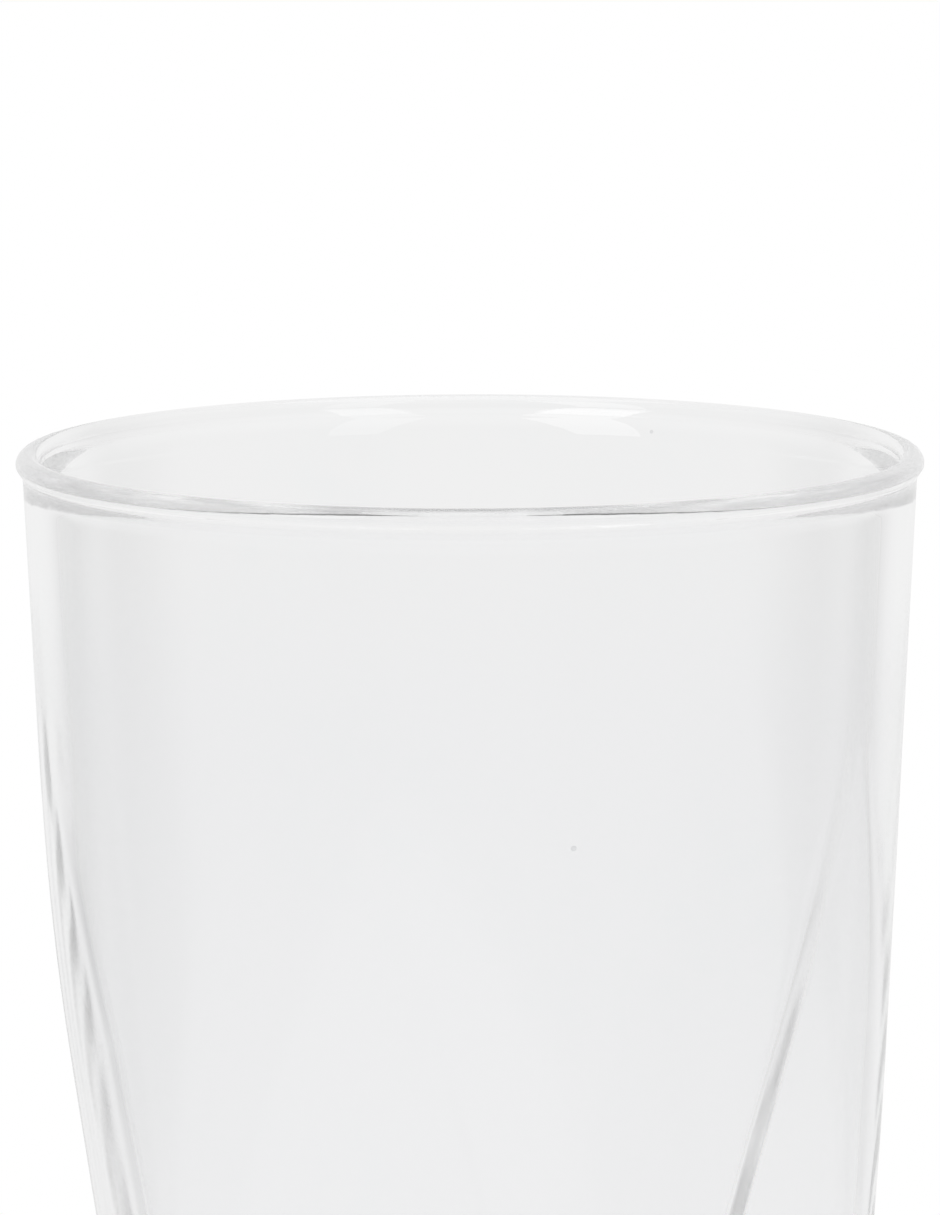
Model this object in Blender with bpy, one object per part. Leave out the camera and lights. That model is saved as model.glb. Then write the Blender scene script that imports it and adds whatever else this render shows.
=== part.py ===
"""Highball glass: a round rim on a tapered wall that five facets turn into a five-sided foot.

Metres, +Z up. The origin is the centre of the surface that the glass stands on, and -Y is its front.
"""
import math

import bmesh
import bpy
from mathutils import Vector

# Overall form
GLASS_HEIGHT = 0.132
BODY_TOP_RADIUS = 0.0395
WALL_TAPER = math.radians(2.8)
WALL_THICKNESS = 0.0032
FLOOR_THICKNESS = 0.0135

# Fire-polished rim, with a wall that thins inside the lip
RIM_OVERHANG = 0.0005
RIM_BEAD_HEIGHT = 0.0012
RIM_ROUND_HEIGHT = 0.0015
RIM_CROWN_WIDTH = 0.0004
LIP_THICKNESS = 0.0013
LIP_FLARE_DEPTH = 0.0045
BEAD_TOP = GLASS_HEIGHT - RIM_ROUND_HEIGHT
BEAD_BOTTOM = BEAD_TOP - RIM_BEAD_HEIGHT

# Facets, each leaving the round wall on a long arc and then running flat to the foot
FACET_COUNT = 5
FACET_TOP_DEPTH = 0.0206
FACET_ENTRY_RADIUS = 0.296
FACET_LEAN = math.radians(9.4)
FACET_TURN = math.radians(-9.3)

# Foot and floor
HEEL_ROUND = 0.0016
FLOOR_ROUND = 0.0045
FOOT_RING_WIDTH = 0.0045
PUNT_DEPTH = 0.0022

# Fineness of the faceted solids
ROUND_STEPS = 100
ARC_STEPS = 5
FACET_STEPS = 10
CUTTER_MARGIN = 0.006
MERGE_DISTANCE = 1e-7
LEVEL_TOLERANCE = 1e-6
END_EDGE_ANGLE = math.radians(45.0)
SHARP_ANGLE = math.radians(12.0)


def wall_radius(height):
    """Outer radius of the plain tapered wall at a height above the table."""
    return BODY_TOP_RADIUS - math.tan(WALL_TAPER) * (GLASS_HEIGHT - height)


def inner_radius(height):
    """Radius of the round hollow, a wall's thickness inside the tapered wall and less at the lip."""
    share = max(1 - (BEAD_TOP - height) / LIP_FLARE_DEPTH, 0.0)
    inset = WALL_THICKNESS - (WALL_THICKNESS - LIP_THICKNESS) * share * share
    return wall_radius(height) - inset / math.cos(WALL_TAPER)


def crown_radius():
    """Middle of the narrow flat on top of the rim."""
    return (BODY_TOP_RADIUS + RIM_OVERHANG + inner_radius(BEAD_TOP)) / 2


def facet_point(lean):
    """Distance from the axis and height where a facet's profile has reached a lean."""
    top_height = GLASS_HEIGHT - FACET_TOP_DEPTH
    reach = wall_radius(top_height) + FACET_ENTRY_RADIUS * (math.cos(lean) - math.cos(WALL_TAPER))
    height = top_height - FACET_ENTRY_RADIUS * (math.sin(lean) - math.sin(WALL_TAPER))
    return reach, height


def foot_reach():
    """Distance from the axis to a facet at table level."""
    reach, height = facet_point(FACET_LEAN)
    return reach - math.tan(FACET_LEAN) * height


def punt_points():
    """Shallow dish under the foot, from its flat middle out to the ring that stands on the table."""
    edge_radius = foot_reach() - HEEL_ROUND - FOOT_RING_WIDTH
    points = []
    for step in range(1, ARC_STEPS + 1):
        share = step / ARC_STEPS
        points.append((edge_radius * share, PUNT_DEPTH * (1 - share * share)))
    return points


def bead_points():
    """Swell of the wall into the rim bead."""
    points = []
    for step in range(ARC_STEPS):
        share = step / ARC_STEPS
        swell = share * share * (3 - 2 * share)
        height = BEAD_BOTTOM + RIM_BEAD_HEIGHT * share
        overhang = BODY_TOP_RADIUS + RIM_OVERHANG - wall_radius(height)
        points.append((wall_radius(height) + overhang * swell, height))
    return points


def crown_points(start_radius, end_radius):
    """Quarter round of the rim, from the bead's widest level up to the crown."""
    points = []
    for step in range(ARC_STEPS + 1):
        angle = math.pi / 2 * step / ARC_STEPS
        radius = end_radius + (start_radius - end_radius) * math.cos(angle)
        points.append((radius, BEAD_TOP + RIM_ROUND_HEIGHT * math.sin(angle)))
    return points


def outer_profile():
    """Outside of the glass, from the middle of the punt round to the crown."""
    crown = crown_points(BODY_TOP_RADIUS + RIM_OVERHANG, crown_radius() + RIM_CROWN_WIDTH / 2)
    return punt_points() + [(wall_radius(0.0), 0.0)] + bead_points() + crown


def flare_points():
    """Swing of the inside wall out to the thinner lip, up to the level of the bead."""
    points = []
    for step in range(ARC_STEPS):
        height = BEAD_TOP - LIP_FLARE_DEPTH * (1 - step / ARC_STEPS)
        points.append((inner_radius(height), height))
    return points


def hollow_profile():
    """Inside of the glass, from the floor to the crown and on past the mouth to cut clear."""
    mouth = crown_points(inner_radius(BEAD_TOP), crown_radius() - RIM_CROWN_WIDTH / 2)
    past_mouth = (mouth[-1][0], GLASS_HEIGHT + CUTTER_MARGIN)
    floor_edge = (inner_radius(FLOOR_THICKNESS), FLOOR_THICKNESS)
    return [floor_edge] + flare_points() + mouth + [past_mouth]


def turned_mesh(profile):
    """Solid of revolution from a profile of (radius, height) points, closed by flat ends."""
    mesh = bmesh.new()
    points = [mesh.verts.new((radius, 0.0, height)) for radius, height in profile]
    edges = [mesh.edges.new(pair) for pair in zip(points, points[1:])]
    bmesh.ops.spin(mesh, geom=points + edges, axis=(0, 0, 1), cent=(0, 0, 0),
                   angle=2 * math.pi, steps=ROUND_STEPS, use_merge=True)
    bmesh.ops.remove_doubles(mesh, verts=mesh.verts, dist=MERGE_DISTANCE)
    bmesh.ops.holes_fill(mesh, edges=mesh.edges)
    bmesh.ops.recalc_face_normals(mesh, faces=mesh.faces)
    return mesh


def facet_planes(inset):
    """Point and outward normal of each plane that shapes a facet, moved inwards by an inset."""
    for index in range(FACET_COUNT):
        turn = FACET_TURN + 2 * math.pi * index / FACET_COUNT
        outward = Vector((math.sin(turn), -math.cos(turn), 0.0))
        for step in range(1, FACET_STEPS + 1):
            lean = WALL_TAPER + (FACET_LEAN - WALL_TAPER) * step / FACET_STEPS
            reach, height = facet_point(lean)
            normal = outward * math.cos(lean) - Vector((0.0, 0.0, math.sin(lean)))
            yield outward * reach + Vector((0.0, 0.0, height)) - normal * inset, normal


def cut_facets(mesh, inset, wall_top):
    """Slice every facet off a solid's wall, below the rim, and close each cut with a flat face."""
    limit = wall_top + LEVEL_TOLERANCE
    for point, normal in facet_planes(inset):
        wall = [vert for vert in mesh.verts if vert.co.z < limit]
        for pieces in (mesh.edges, mesh.faces):
            wall += [piece for piece in pieces if all(vert.co.z < limit for vert in piece.verts)]
        cut = bmesh.ops.bisect_plane(mesh, geom=wall, dist=MERGE_DISTANCE,
                                     plane_co=point, plane_no=normal, clear_outer=True)
        outline = [item for item in cut['geom_cut'] if isinstance(item, bmesh.types.BMEdge)]
        bmesh.ops.edgeloop_fill(mesh, edges=outline)
    bmesh.ops.recalc_face_normals(mesh, faces=mesh.faces)


def round_level_edge(mesh, height, size):
    """Round the edge where a solid's sides meet its flat end at a height."""
    ring = []
    for edge in mesh.edges:
        level = all(abs(vert.co.z - height) < LEVEL_TOLERANCE for vert in edge.verts)
        if level and edge.calc_face_angle(0.0) > END_EDGE_ANGLE:
            ring.append(edge)
    bmesh.ops.bevel(mesh, geom=ring, offset=size, offset_type='OFFSET', segments=ARC_STEPS,
                    profile=0.5, affect='EDGES', clamp_overlap=True)


def add_object(name, mesh):
    """Put a finished mesh into the scene as a named object."""
    data = bpy.data.meshes.new(name)
    mesh.to_mesh(data)
    mesh.free()
    data.shade_smooth()
    data.set_sharp_from_angle(angle=SHARP_ANGLE)
    thing = bpy.data.objects.new(name, data)
    bpy.context.scene.collection.objects.link(thing)
    return thing


def add_cutter(target, cutter):
    """Subtract a hidden cutter from an object."""
    cutter.hide_render = True
    cutter.display_type = 'WIRE'
    modifier = target.modifiers.new(cutter.name, 'BOOLEAN')
    modifier.operation = 'DIFFERENCE'
    modifier.solver = 'EXACT'
    modifier.object = cutter


def glass_material():
    """Clear colourless glass."""
    material = bpy.data.materials.new('clear_glass')
    material.use_nodes = True
    shader = material.node_tree.nodes['Principled BSDF']
    shader.inputs['Base Color'].default_value = (0.97, 0.98, 0.985, 1.0)
    shader.inputs['Metallic'].default_value = 0.0
    shader.inputs['Roughness'].default_value = 0.02
    shader.inputs['IOR'].default_value = 1.52
    shader.inputs['Transmission Weight'].default_value = 1.0
    return material


def build_glass():
    """Turned and faceted body with a hollow that follows the same facets a wall's thickness inside."""
    body = turned_mesh(outer_profile())
    cut_facets(body, 0.0, BEAD_BOTTOM)
    round_level_edge(body, 0.0, HEEL_ROUND)
    glass = add_object('glass_body', body)
    glass.data.materials.append(glass_material())

    hollow = turned_mesh(hollow_profile())
    cut_facets(hollow, WALL_THICKNESS, BEAD_TOP - LIP_FLARE_DEPTH)
    round_level_edge(hollow, FLOOR_THICKNESS, FLOOR_ROUND)
    add_cutter(glass, add_object('hollow_cutter', hollow))


for leftover in list(bpy.data.objects):
    bpy.data.objects.remove(leftover)
build_glass()
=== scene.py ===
import math

import bpy
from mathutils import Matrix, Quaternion, Vector


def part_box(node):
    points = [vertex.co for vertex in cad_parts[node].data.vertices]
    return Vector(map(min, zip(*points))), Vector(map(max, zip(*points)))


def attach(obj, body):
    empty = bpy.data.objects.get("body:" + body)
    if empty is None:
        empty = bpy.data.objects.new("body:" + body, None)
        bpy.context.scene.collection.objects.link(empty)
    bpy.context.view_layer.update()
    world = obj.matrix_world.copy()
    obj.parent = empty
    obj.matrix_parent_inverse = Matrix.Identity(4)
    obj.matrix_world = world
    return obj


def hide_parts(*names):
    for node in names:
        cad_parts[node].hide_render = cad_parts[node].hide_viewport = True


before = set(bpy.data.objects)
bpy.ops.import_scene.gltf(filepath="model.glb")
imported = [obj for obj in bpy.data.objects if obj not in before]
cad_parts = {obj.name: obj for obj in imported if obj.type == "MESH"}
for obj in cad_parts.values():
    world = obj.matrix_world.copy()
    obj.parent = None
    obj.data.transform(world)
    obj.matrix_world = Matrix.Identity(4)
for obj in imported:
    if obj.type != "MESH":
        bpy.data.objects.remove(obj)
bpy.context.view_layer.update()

glassLow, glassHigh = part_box("glass_body")
scene = bpy.context.scene
print("frame loaded, glass box", [round(v, 4) for v in glassHigh - glassLow])


# the glass: sizes in metres, angles in degrees
glass = {
    "height": glassHigh.z,
    "rimRadius": glassHigh.x,
    "beadOverhang": 0.0005,
    "beadHeight": 0.0012,
    "rimRound": 0.0011,        # height of the crown above the bead's widest level
    "lipWall": 0.0016,         # the wall thins to this at the lip
    "lipFlare": 0.0025,        # over this depth
    "taper": 2.8,
    "wall": 0.0028,
    "floor": 0.0135,
    "floorRound": 0.0045,
    "heelRound": 0.0016,
    "footRing": 0.0045,
    "puntDepth": 0.0022,
    "facets": 5,
    "facetTurn": -9.3,
    "facetTop": 0.0206,        # a facet starts this far below the rim
    "entryRadius": 0.296,
    "facetLean": 9.4,
    "leftRidge": (0.0002, 0.0004),     # softness of a facet's left ridge, outside and inside
    "rightRidge": (0.0015, 0.0015),    # and of its right one
    "sharpest": 1e-9,          # softness where a ridge starts from nothing
    "leastFacet": 2.5,         # a facet's columns span at least this to either side
    "leastLand": 0.8,          # and so do those of the round wall between two facets
    "facetColumns": 24,        # mesh columns across one facet
    "landColumns": 20,         # and across the round wall between two
    "wallRows": 150,
    "roundRows": 12,
}

taperSlope = math.tan(math.radians(glass["taper"]))
sector = 2 * math.pi / glass["facets"]
bodyTop = glass["rimRadius"] - glass["beadOverhang"]
beadTop = glass["height"] - glass["rimRound"]
beadBottom = beadTop - glass["beadHeight"]


def wallRadius(z):
    return bodyTop - taperSlope * (glass["height"] - z)


def facetReach(z):
    # distance of a facet from the axis: the wall's own line, a long arc, then straight
    top = glass["height"] - glass["facetTop"]
    taper, lean = math.radians(glass["taper"]), math.radians(glass["facetLean"])
    arcEnd = top - glass["entryRadius"] * (math.sin(lean) - math.sin(taper))
    if z >= top:
        return wallRadius(z)
    here = math.asin(math.sin(taper) + (top - max(z, arcEnd)) / glass["entryRadius"])
    reach = wallRadius(top) + glass["entryRadius"] * (math.cos(here) - math.cos(taper))
    return reach - math.tan(lean) * max(arcEnd - z, 0)


def wallInset(z):
    # thickness of the wall, thinner towards the lip
    share = max(1 - (beadTop - z) / glass["lipFlare"], 0)
    return glass["wall"] - (glass["wall"] - glass["lipWall"]) * share * share


def softMin(a, b, k):
    share = min(max(0.5 + 0.5 * (b - a) / k, 0), 1)
    return b * (1 - share) + a * share - k * share * (1 - share)


def columnAngles(z):
    # columns follow the ridges, so every ridge lies on mesh edges from top to bottom
    ratio = min(facetReach(z) / wallRadius(z), 1)
    most = sector / 2 - math.radians(glass["leastLand"])
    half = min(max(math.acos(ratio), math.radians(glass["leastFacet"])), most)
    angles = []
    for k in range(glass["facets"]):
        middle = math.radians(glass["facetTurn"]) + k * sector
        for i in range(glass["facetColumns"]):
            angles.append(middle - half * math.cos(math.pi * i / glass["facetColumns"]))
        for i in range(glass["landColumns"]):
            share = 0.5 - 0.5 * math.cos(math.pi * i / glass["landColumns"])
            angles.append(middle + half + (sector - 2 * half) * share)
    return angles


def sectionRow(z, inset):
    # one ring of points: round wall cut by the facets, moved inwards by an inset
    turn = math.radians(glass["facetTurn"])
    around = wallRadius(z) - inset / math.cos(math.radians(glass["taper"]))
    depth = wallRadius(z) - facetReach(z)
    reach = around - depth
    row = []
    for angle in columnAngles(z):
        aside = (angle - turn + sector / 2) % sector - sector / 2
        soft = glass["leftRidge" if aside < 0 else "rightRidge"][1 if inset else 0]
        soft = max(min(soft, depth), glass["sharpest"])
        row.append((angle, softMin(around, reach / math.cos(aside), soft), z))
    return row


def roundRow(z, radius):
    return [(angle, radius, z) for angle in columnAngles(z)]


def glassRows():
    rows = []
    steps = glass["roundRows"]
    ringRadius = facetReach(0) - glass["heelRound"] - glass["footRing"]
    for i in range(1, steps + 1):      # punt, from its middle out to the standing ring
        share = i / steps
        z = glass["puntDepth"] * (1 - share * share)
        rows.append([(a, ringRadius * share, z) for a in columnAngles(0)])
    heel = glass["heelRound"]
    base = sectionRow(heel, 0)
    for i in range(steps + 1):         # heel
        turn = math.pi / 2 * i / steps
        inset = heel * (1 - math.sin(turn))
        rows.append([(a, r - inset, heel * (1 - math.cos(turn))) for a, r, _ in base])
    for i in range(1, glass["wallRows"]):
        rows.append(sectionRow(heel + (beadBottom - heel) * i / glass["wallRows"], 0))
    for i in range(steps):             # bead
        share = i / steps
        z = beadBottom + glass["beadHeight"] * share
        swell = share * share * (3 - 2 * share)
        rows.append(roundRow(z, wallRadius(z) + (glass["rimRadius"] - wallRadius(z)) * swell))
    inner = wallRadius(beadTop) - wallInset(beadTop) / math.cos(math.radians(glass["taper"]))
    middle, half = (glass["rimRadius"] + inner) / 2, (glass["rimRadius"] - inner) / 2
    for i in range(2 * steps + 1):     # rim
        turn = math.pi * i / (2 * steps)
        z = beadTop + glass["rimRound"] * math.sin(turn)
        rows.append(roundRow(z, middle + half * math.cos(turn)))
    floorTop = glass["floor"] + glass["floorRound"]
    for i in range(1, glass["wallRows"] + 1):
        z = beadTop + (floorTop - beadTop) * i / glass["wallRows"]
        rows.append(sectionRow(z, wallInset(z)))
    foot = rows[-1]
    for i in range(1, steps + 1):      # round at the floor
        turn = math.pi / 2 * i / steps
        inset = glass["floorRound"] * (1 - math.cos(turn))
        z = floorTop - glass["floorRound"] * math.sin(turn)
        rows.append([(a, r - inset, z) for a, r, _ in foot])
    edge = rows[-1]
    for i in range(1, steps):          # floor, in to its middle
        rows.append([(a, r * (1 - i / steps), z) for a, r, z in edge])
    return rows


def makeGlass():
    rows = glassRows()
    count = len(rows[0])
    points = [(r * math.sin(a), -r * math.cos(a), z) for row in rows for a, r, z in row]
    faces = []
    for i in range(len(rows) - 1):
        for j in range(count):
            k = (j + 1) % count
            faces.append((i * count + j, i * count + k, (i + 1) * count + k, (i + 1) * count + j))
    last = (len(rows) - 1) * count
    faces.append([last + j for j in range(count)])           # middle of the floor
    faces.append([j for j in reversed(range(count))])        # middle of the punt
    mesh = bpy.data.meshes.new("highballGlass")
    mesh.from_pydata(points, [], faces)
    mesh.update()
    mesh.shade_smooth()
    piece = bpy.data.objects.new("highballGlass", mesh)
    scene.collection.objects.link(piece)
    print("glass mesh", len(points), "points")
    return piece


# small helpers for node trees
def link(tree, value, socket):
    # a number or colour is set on the socket, anything else is linked to it
    if isinstance(value, (int, float, tuple)):
        socket.default_value = value
    else:
        tree.links.new(value, socket)


def objectCoords(tree):
    return tree.nodes.new("ShaderNodeTexCoord").outputs["Object"]


def addMath(tree, operation, a, b):
    node = tree.nodes.new("ShaderNodeMath")
    node.operation = operation
    link(tree, a, node.inputs[0])
    link(tree, b, node.inputs[1])
    return node.outputs[0]


def addRange(tree, value, fromMin, fromMax, toMin, toMax):
    node = tree.nodes.new("ShaderNodeMapRange")
    node.interpolation_type = "SMOOTHSTEP"
    link(tree, value, node.inputs["Value"])
    link(tree, fromMin, node.inputs["From Min"])
    link(tree, fromMax, node.inputs["From Max"])
    link(tree, toMin, node.inputs["To Min"])
    link(tree, toMax, node.inputs["To Max"])
    return node.outputs["Result"]


def addColour(tree, factor, a, b):
    node = tree.nodes.new("ShaderNodeMix")
    node.data_type = "RGBA"
    link(tree, factor, node.inputs[0])
    link(tree, a, node.inputs[6])
    link(tree, b, node.inputs[7])
    return node.outputs[2]


def addNoise(tree, vector, scale, detail):
    node = tree.nodes.new("ShaderNodeTexNoise")
    link(tree, vector, node.inputs["Vector"])
    link(tree, scale, node.inputs["Scale"])
    link(tree, detail, node.inputs["Detail"])
    return node.outputs[0]


def addDistance(tree, vector, point):
    node = tree.nodes.new("ShaderNodeVectorMath")
    node.operation = "DISTANCE"
    link(tree, vector, node.inputs[0])
    link(tree, point, node.inputs[1])
    return node.outputs["Value"]


def addBump(tree, height, depth, shader):
    node = tree.nodes.new("ShaderNodeBump")
    link(tree, depth, node.inputs["Distance"])
    link(tree, height, node.inputs["Height"])
    link(tree, node.outputs[0], shader.inputs["Normal"])


def addMixShader(tree, factor, a, b):
    node = tree.nodes.new("ShaderNodeMixShader")
    for socket, value in zip(node.inputs, (factor, a, b)):
        link(tree, value, socket)
    return node.outputs[0]


# shader groups: each is built once and placed in a material with its own values
pattern = {
    "waveStretch": (1.0, 1.0, 0.4),    # mould waves run longer up the wall than round it
    "waveDetail": 1.0,
    "fineScale": 12.0,                 # fine ripple, against the waves
    "fineDetail": 0.0,
    "patchDetail": 3.0,
    "patchEdge": (0.48, 0.68),         # noise between which a patch of marks comes in
    "streakDetail": 4.0,
    "streakEdge": (0.35, 0.75),
}


def newGroup(name, inputs, output):
    group = bpy.data.node_groups.new(name, "ShaderNodeTree")
    for label, value in inputs:
        socket = group.interface.new_socket(label, in_out="INPUT", socket_type="NodeSocketFloat")
        socket.default_value = value
    group.interface.new_socket(output, in_out="OUTPUT", socket_type="NodeSocketFloat")
    given = group.nodes.new("NodeGroupInput").outputs
    result = group.nodes.new("NodeGroupOutput").inputs[output]
    return group, given, result


def makeRipple():
    # slow waves left by the mould, with a fine ripple on top
    inputs = [("Wave Scale", 70.0), ("Fine Share", 0.1)]
    group, given, result = newGroup("mouldRipple", inputs, "Height")
    coords = objectCoords(group)
    stretch = group.nodes.new("ShaderNodeMapping")
    link(group, coords, stretch.inputs["Vector"])
    link(group, pattern["waveStretch"], stretch.inputs["Scale"])
    wave = addNoise(group, stretch.outputs[0], given["Wave Scale"], pattern["waveDetail"])
    fineScale = addMath(group, "MULTIPLY", given["Wave Scale"], pattern["fineScale"])
    fine = addNoise(group, coords, fineScale, pattern["fineDetail"])
    fine = addMath(group, "MULTIPLY", fine, given["Fine Share"])
    link(group, addMath(group, "ADD", wave, fine), result)
    return group


def makeSpecks():
    # sparse small dots: seeds in glass, dust on the floor
    inputs = [("Cell Scale", 90.0), ("Size", 0.06), ("Share", 0.2)]
    group, given, result = newGroup("fineSpecks", inputs, "Mask")
    cells = group.nodes.new("ShaderNodeTexVoronoi")
    link(group, objectCoords(group), cells.inputs["Vector"])
    link(group, given["Cell Scale"], cells.inputs["Scale"])
    pick = group.nodes.new("ShaderNodeSeparateColor")
    link(group, cells.outputs["Color"], pick.inputs[0])
    chosen = addMath(group, "LESS_THAN", pick.outputs[0], given["Share"])
    spread = addMath(group, "MULTIPLY", pick.outputs[1], given["Size"])
    inside = addMath(group, "LESS_THAN", cells.outputs["Distance"], spread)
    link(group, addMath(group, "MULTIPLY", chosen, inside), result)
    return group


def makeMarks():
    # cloudy marks of handling and drying, patchy on a large scale and streaked on a small one
    inputs = [("Patch Scale", 35.0), ("Streak Scale", 260.0)]
    group, given, result = newGroup("handlingMarks", inputs, "Mask")
    coords = objectCoords(group)
    patch = addNoise(group, coords, given["Patch Scale"], pattern["patchDetail"])
    streak = addNoise(group, coords, given["Streak Scale"], pattern["streakDetail"])
    where = addRange(group, patch, *pattern["patchEdge"], 0.0, 1.0)
    grain = addRange(group, streak, *pattern["streakEdge"], 0.0, 1.0)
    link(group, addMath(group, "MULTIPLY", where, grain), result)
    return group


ripple, specks, marks = makeRipple(), makeSpecks(), makeMarks()
print("shader groups made")


def place(tree, group, values):
    node = tree.nodes.new("ShaderNodeGroup")
    node.node_tree = group
    for label, value in values.items():
        node.inputs[label].default_value = value
    return node.outputs[0]


clearGlass = {
    "ior": 1.52,
    "clear": (1.0, 1.0, 1.0, 1.0),
    "foot": (0.995, 0.996, 1.0, 1.0),          # faintly cool lower down
    "clouded": (0.985, 0.992, 0.995, 1.0),     # where drying marks are
    "seed": (0.72, 0.73, 0.74, 1.0),           # tiny seeds and dust
    "wornRough": 0.07,                         # fine wear, from none at the rim
    "wornFrom": (0.126, 0.110),                # heights between which wear and tint come in
    "markRough": 0.01,
    "ripple": {"Wave Scale": 70.0, "Fine Share": 0.0},
    "rippleDepth": 0.00004,
    "specks": {"Cell Scale": 120.0, "Size": 0.035, "Share": 0.08},
    "marks": {"Patch Scale": 35.0, "Streak Scale": 260.0},
}


def makeClearGlass():
    material = bpy.data.materials.new("clearGlass")
    material.use_nodes = True
    tree = material.node_tree
    shader = tree.nodes["Principled BSDF"]
    shader.inputs["IOR"].default_value = clearGlass["ior"]
    shader.inputs["Metallic"].default_value = 0.0
    shader.inputs["Transmission Weight"].default_value = 1.0
    cloud = place(tree, marks, clearGlass["marks"])
    seed = place(tree, specks, clearGlass["specks"])
    split = tree.nodes.new("ShaderNodeSeparateXYZ")
    link(tree, objectCoords(tree), split.inputs[0])
    low = addRange(tree, split.outputs["Z"], *clearGlass["wornFrom"], 0.0, 1.0)
    shade = addColour(tree, low, clearGlass["clear"], clearGlass["foot"])
    shade = addColour(tree, cloud, shade, clearGlass["clouded"])
    shade = addColour(tree, seed, shade, clearGlass["seed"])
    link(tree, shade, shader.inputs["Base Color"])
    worn = addMath(tree, "MULTIPLY", low, clearGlass["wornRough"])
    marked = addMath(tree, "MULTIPLY", cloud, clearGlass["markRough"])
    link(tree, addMath(tree, "ADD", worn, marked), shader.inputs["Roughness"])
    addBump(tree, place(tree, ripple, clearGlass["ripple"]), clearGlass["rippleDepth"], shader)
    return material


piece = makeGlass()
piece.data.materials.append(makeClearGlass())
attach(piece, "root")
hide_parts("glass_body")
print("glass dressed")


# floor: a pale sheet that fades into the white studio away from the glass
sheet = {
    "radius": 0.30,
    "rings": 12,
    "columns": 96,
    "fade": (0.13, 0.24),
    "colour": (0.93, 0.93, 0.935, 1.0),
    "fleck": (0.86, 0.86, 0.87, 1.0),
    "roughness": 0.6,
    "specular": 0.2,
    "glow": 0.9,                       # how brightly the glass shows the floor
    "paintedShadowMiddle": (0.0, -0.025, 0.0),   # painted shadow of the glass: under and in front of the foot it shows less of that
    "paintedShadowEdge": (0.022, 0.05),
    "paintedShadowShare": 0.3,
    "specks": {"Cell Scale": 60.0, "Size": 0.02, "Share": 0.1},
    "ripple": {"Wave Scale": 20.0, "Fine Share": 0.4},
    "rippleDepth": 0.0002,
}


def makeSheet():
    points, faces = [(0, 0, 0)], []
    for i in range(1, sheet["rings"] + 1):
        radius = sheet["radius"] * i / sheet["rings"]
        for j in range(sheet["columns"]):
            angle = 2 * math.pi * j / sheet["columns"]
            points.append((radius * math.cos(angle), radius * math.sin(angle), 0))
    for j in range(sheet["columns"]):
        k = (j + 1) % sheet["columns"]
        faces.append((0, 1 + j, 1 + k))
        for i in range(sheet["rings"] - 1):
            low, high = 1 + i * sheet["columns"], 1 + (i + 1) * sheet["columns"]
            faces.append((low + j, high + j, high + k, low + k))
    mesh = bpy.data.meshes.new("floorSheet")
    mesh.from_pydata(points, [], faces)
    floor = bpy.data.objects.new("floorSheet", mesh)
    scene.collection.objects.link(floor)
    return floor


def makeSheetMaterial():
    material = bpy.data.materials.new("paleSheet")
    material.use_nodes = True
    tree = material.node_tree
    shader = tree.nodes["Principled BSDF"]
    shader.inputs["Roughness"].default_value = sheet["roughness"]
    shader.inputs["Specular IOR Level"].default_value = sheet["specular"]
    fleck = place(tree, specks, sheet["specks"])
    link(tree, addColour(tree, fleck, sheet["colour"], sheet["fleck"]), shader.inputs["Base Color"])
    addBump(tree, place(tree, ripple, sheet["ripple"]), sheet["rippleDepth"], shader)
    # seen in or through the glass, the floor glows, less so in a painted shadow under and in front of the
    # foot
    glow = tree.nodes.new("ShaderNodeEmission")
    glow.inputs["Strength"].default_value = sheet["glow"]
    paths = tree.nodes.new("ShaderNodeLightPath").outputs
    through = addMath(tree, "MAXIMUM", paths["Is Glossy Ray"], paths["Is Transmission Ray"])
    coords = objectCoords(tree)
    # painted shadow of the glass on the floor: the glow fades under and in front of the foot
    fromPaintedShadow = addDistance(tree, coords, sheet["paintedShadowMiddle"])
    share = addRange(tree, fromPaintedShadow, *sheet["paintedShadowEdge"], sheet["paintedShadowShare"], 1.0)
    glowing = addMath(tree, "MULTIPLY", through, share)
    lit = addMixShader(tree, glowing, shader.outputs[0], glow.outputs[0])
    away = addDistance(tree, coords, (0, 0, 0))
    gone = addRange(tree, away, *sheet["fade"], 0.0, 1.0)
    clear = tree.nodes.new("ShaderNodeBsdfTransparent")
    spread = addMixShader(tree, gone, lit, clear.outputs[0])
    link(tree, spread, tree.nodes["Material Output"].inputs["Surface"])
    return material


floor = makeSheet()
floor.data.materials.append(makeSheetMaterial())
print("floor laid")


# studio: a white sweep behind, a dim gap at either side of it and a pale room in front
studio = {
    "behind": (0.885, 0.5, 0.85),   # strength, and where along +Y it starts and is full
    "front": (0.7, -0.35, 0.05),    # the same along -Y
    "above": (0.95, 0.25, 0.8),     # along +Z
    "below": (0.88, 0.05, 0.4),     # and along -Z
    "gap": 0.40,
}


def makeWorld():
    world = bpy.data.worlds.new("studio")
    scene.world = world
    world.use_nodes = True
    tree = world.node_tree
    split = tree.nodes.new("ShaderNodeSeparateXYZ")
    link(tree, tree.nodes.new("ShaderNodeTexCoord").outputs["Generated"], split.inputs[0])
    strength = studio["gap"]
    for side, axis, sign in (("behind", "Y", 1), ("front", "Y", -1), ("above", "Z", 1), ("below", "Z", -1)):
        level, start, full = studio[side]
        fade = addRange(tree, split.outputs[axis], start * sign, full * sign, studio["gap"], level)
        strength = addMath(tree, "MAXIMUM", strength, fade)
    # the camera itself sees plain white
    paths = tree.nodes.new("ShaderNodeLightPath").outputs
    back = tree.nodes["Background"]
    back.inputs["Color"].default_value = (1, 1, 1, 1)
    link(tree, addMath(tree, "MAXIMUM", strength, paths["Is Camera Ray"]), back.inputs["Strength"])
    print("world made")


makeWorld()


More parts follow.
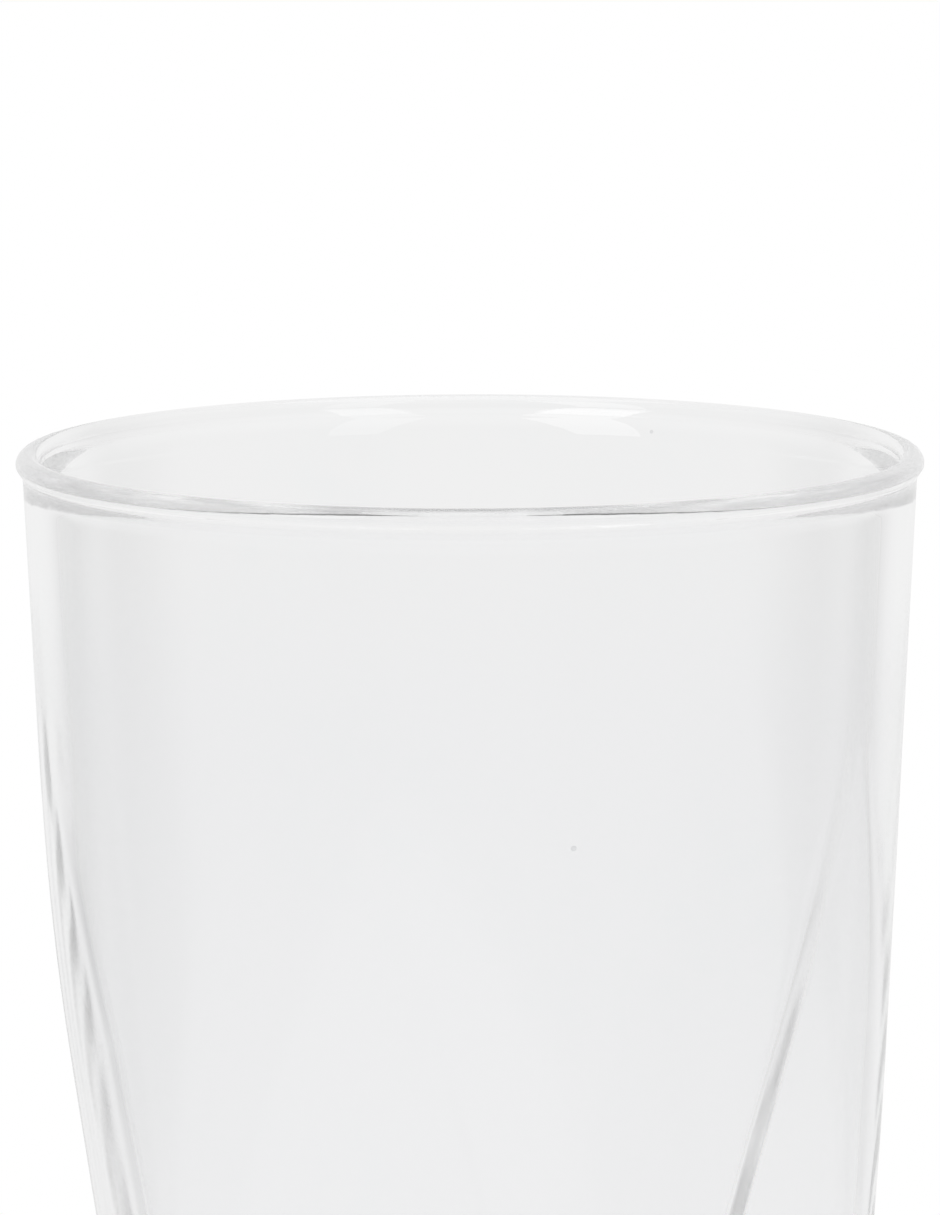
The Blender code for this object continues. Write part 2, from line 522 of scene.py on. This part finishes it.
# tall soft boxes in front, either side of the camera, and one overhead
softBoxes = {
    "left": {"turn": 41.0, "lift": 40.0, "away": 1.4, "size": (0.50, 1.20), "power": 2.2},
    "right": {"turn": -34.0, "lift": 40.0, "away": 1.4, "size": (0.38, 1.20), "power": 0.9},
    "top": {"turn": 180.0, "lift": 85.0, "away": 1.25, "size": (0.90, 0.90), "power": 2.0},
}


def makeSoftBoxes():
    aim = Vector((0, 0, glass["height"] / 2))
    for name, box in softBoxes.items():
        lamp = bpy.data.lights.new(name + "SoftBox", "AREA")
        lamp.shape = "RECTANGLE"
        lamp.size, lamp.size_y = box["size"]
        lamp.energy = box["power"]
        thing = bpy.data.objects.new(name + "SoftBox", lamp)
        scene.collection.objects.link(thing)
        turn, lift = math.radians(box["turn"]), math.radians(box["lift"])
        flat = math.cos(lift)
        away = Vector((-math.sin(turn) * flat, -math.cos(turn) * flat, math.sin(lift)))
        thing.location = aim + away * box["away"]
        thing.rotation_mode = "QUATERNION"
        thing.rotation_quaternion = (-away).to_track_quat("-Z", "Y")
    print("soft boxes placed")


makeSoftBoxes()


# camera: the photograph is a 940 x 1215 crop around the rim
view = {
    "imageWidth": 940,
    "imageHeight": 1215,
    "rimCentre": (470.0, 460.5),    # middle of the bead's widest level, in pixels
    "rimHalfWidth": 453.8,
    "distance": 0.66,
    "elevation": 7.5,
    "roll": -0.12,
    "bounces": 200,                 # light is guided a long way down inside the wall
}


def makeCamera():
    lens = bpy.data.cameras.new("camera")
    camera = bpy.data.objects.new("camera", lens)
    scene.collection.objects.link(camera)
    tilt = math.radians(view["elevation"])
    towards = Vector((0, -math.cos(tilt), math.sin(tilt)))
    camera.location = Vector((0, 0, beadTop)) + towards * view["distance"]
    camera.rotation_mode = "QUATERNION"
    spin = Quaternion((0, 0, 1), math.radians(view["roll"]))
    camera.rotation_quaternion = (-towards).to_track_quat("-Z", "Y") @ spin
    lens.sensor_fit = "HORIZONTAL"
    pixelsPerMetre = view["rimHalfWidth"] / glass["rimRadius"]
    lens.lens = lens.sensor_width * view["distance"] * pixelsPerMetre / view["imageWidth"]
    lens.shift_x = (view["imageWidth"] / 2 - view["rimCentre"][0]) / view["imageWidth"]
    lens.shift_y = (view["rimCentre"][1] - view["imageHeight"] / 2) / view["imageWidth"]
    scene.camera = camera
    print("camera set")


makeCamera()
scene.view_settings.view_transform = "Standard"
scene.cycles.max_bounces = view["bounces"]
scene.cycles.transmission_bounces = view["bounces"]
scene.cycles.glossy_bounces = view["bounces"]
